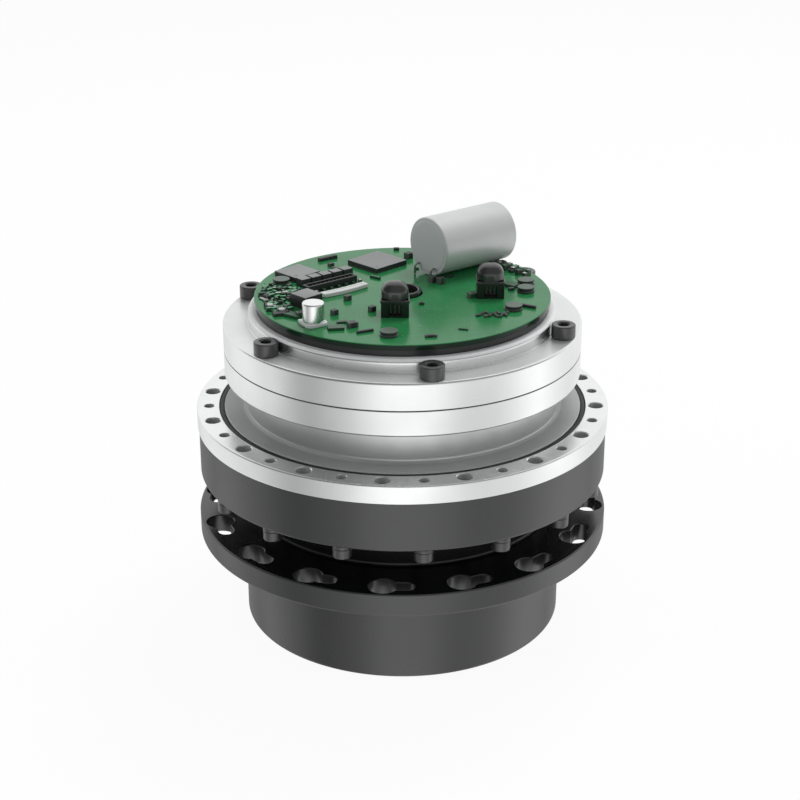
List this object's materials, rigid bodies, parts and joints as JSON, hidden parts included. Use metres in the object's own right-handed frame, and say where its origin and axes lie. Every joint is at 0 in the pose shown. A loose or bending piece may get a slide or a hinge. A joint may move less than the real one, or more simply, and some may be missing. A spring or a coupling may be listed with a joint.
{
  "type": "robot joint actuator",
  "caption": "Round robot joint actuator with a keyhole output flange, strain-wave gear, hollow-shaft motor, brake and an open driver board.",
  "frame": {"origin": "centre of the output hub's underside, on the turning axis", "axes": "+Z along the turning axis from the output hub to the driver board, -Y towards the front of the picture, +X to its right"},
  "size_m": [0.1248, 0.1248, 0.1203],
  "materials": {
    "black_aluminium": "satin black anodised",
    "bearing_steel": "polished",
    "ring_steel": "ground",
    "black_screw": "black oxide",
    "gear_steel": "ground, light oil",
    "tube_black": "smooth black",
    "ring_magnet": "bonded ferrite",
    "bright_aluminium": "fine turned, bright",
    "dark_steel": "phosphated",
    "magnet": "nickel plated",
    "lining": "pressed friction material",
    "seal_rubber": "matt",
    "bright_screw": "zinc plated",
    "laminations": "varnished",
    "copper": "enamelled winding wire",
    "black_plastic": "moulded",
    "board": "green solder mask",
    "chip_plastic": "moulded",
    "can_metal": "drawn, satin",
    "lead_metal": "tinned",
    "white_plastic": "moulded",
    "plug_plastic": "moulded, slight gloss"
  },
  "bodies": {
    "housing": {"bearing_housing": "black_aluminium", "bearing_outer_ring": "bearing_steel", "shaft_seal": "seal_rubber", "clamp_screws": "black_screw", "clamp_washers": "black_screw", "mount_ring": "bright_aluminium", "foot_screws": "bright_screw", "seal_ring": "seal_rubber", "motor_housing": "bright_aluminium", "drum_cover": "bright_aluminium", "drum_screws": "black_screw", "circular_spline": "gear_steel", "spline_screws": "black_screw", "stator_core": "laminations", "stator_coils": "copper", "lower_bearing_outer": "bearing_steel", "upper_bearing_outer": "bearing_steel", "brake_body": "dark_steel", "brake_coil": "copper", "brake_pins": "bearing_steel", "board_spacer": "black_plastic", "board_standoffs": "bright_screw", "driver_board": "board", "encoder_readers": "chip_plastic", "bulk_capacitor": "can_metal", "capacitor_leads": "lead_metal", "large_chips": "chip_plastic", "smd_capacitor": "can_metal", "power_inductor": "black_plastic", "phase_drivers": "chip_plastic", "header_connector": "black_plastic", "ribbon_connector": "white_plastic", "round_inductors": "black_plastic", "power_plug": "plug_plastic", "signal_plug": "plug_plastic"},
    "output": {"output_flange": "black_aluminium", "bearing_inner_ring": "bearing_steel", "bearing_clamp_ring": "ring_steel", "clamp_ring_screws": "black_screw", "flexspline": "gear_steel", "press_plate": "ring_steel", "boss_screws": "black_screw", "cable_tube": "tube_black", "tube_screws": "black_screw", "output_encoder_ring": "ring_magnet"},
    "rollers": {"crossed_rollers": "bearing_steel"},
    "rotor": {"rotor_shaft": "ring_steel", "wave_generator": "bright_aluminium", "flex_bearing_inner": "bearing_steel", "flex_bearing_balls": "bearing_steel", "flex_bearing_outer": "bearing_steel", "shaft_nut": "dark_steel", "rotor_core": "dark_steel", "rotor_magnets": "magnet", "lower_bearing_inner": "bearing_steel", "upper_bearing_inner": "bearing_steel", "brake_lining": "lining", "motor_encoder_ring": "ring_magnet"},
    "armature": {"brake_armature": "dark_steel"}
  },
  "joints": [
    {"name": "output_turn", "type": "hinge", "parent": "housing", "child": "output", "pos_m": [0, 0, 0.0568], "axis": [0, 0, 1], "continuous": true},
    {"name": "roller_turn", "type": "hinge", "parent": "housing", "child": "rollers", "pos_m": [0, 0, 0.0568], "axis": [0, 0, 1], "continuous": true},
    {"name": "rotor_spin", "type": "hinge", "parent": "housing", "child": "rotor", "pos_m": [0, 0, 0.0821], "axis": [0, 0, 1], "continuous": true, "deforming": ["flexspline"]},
    {"name": "brake_release", "type": "slide", "parent": "housing", "child": "armature", "axis": [0, 0, -1], "range_m": [0, 0.00025], "stiffness_N_per_m": 400, "springref_m": -0.0005}
  ],
  "couplings": [
    {"joint": "rotor_spin", "follows": "output_turn", "ratio": -50},
    {"joint": "roller_turn", "follows": "output_turn", "ratio": 0.49}
  ]
}
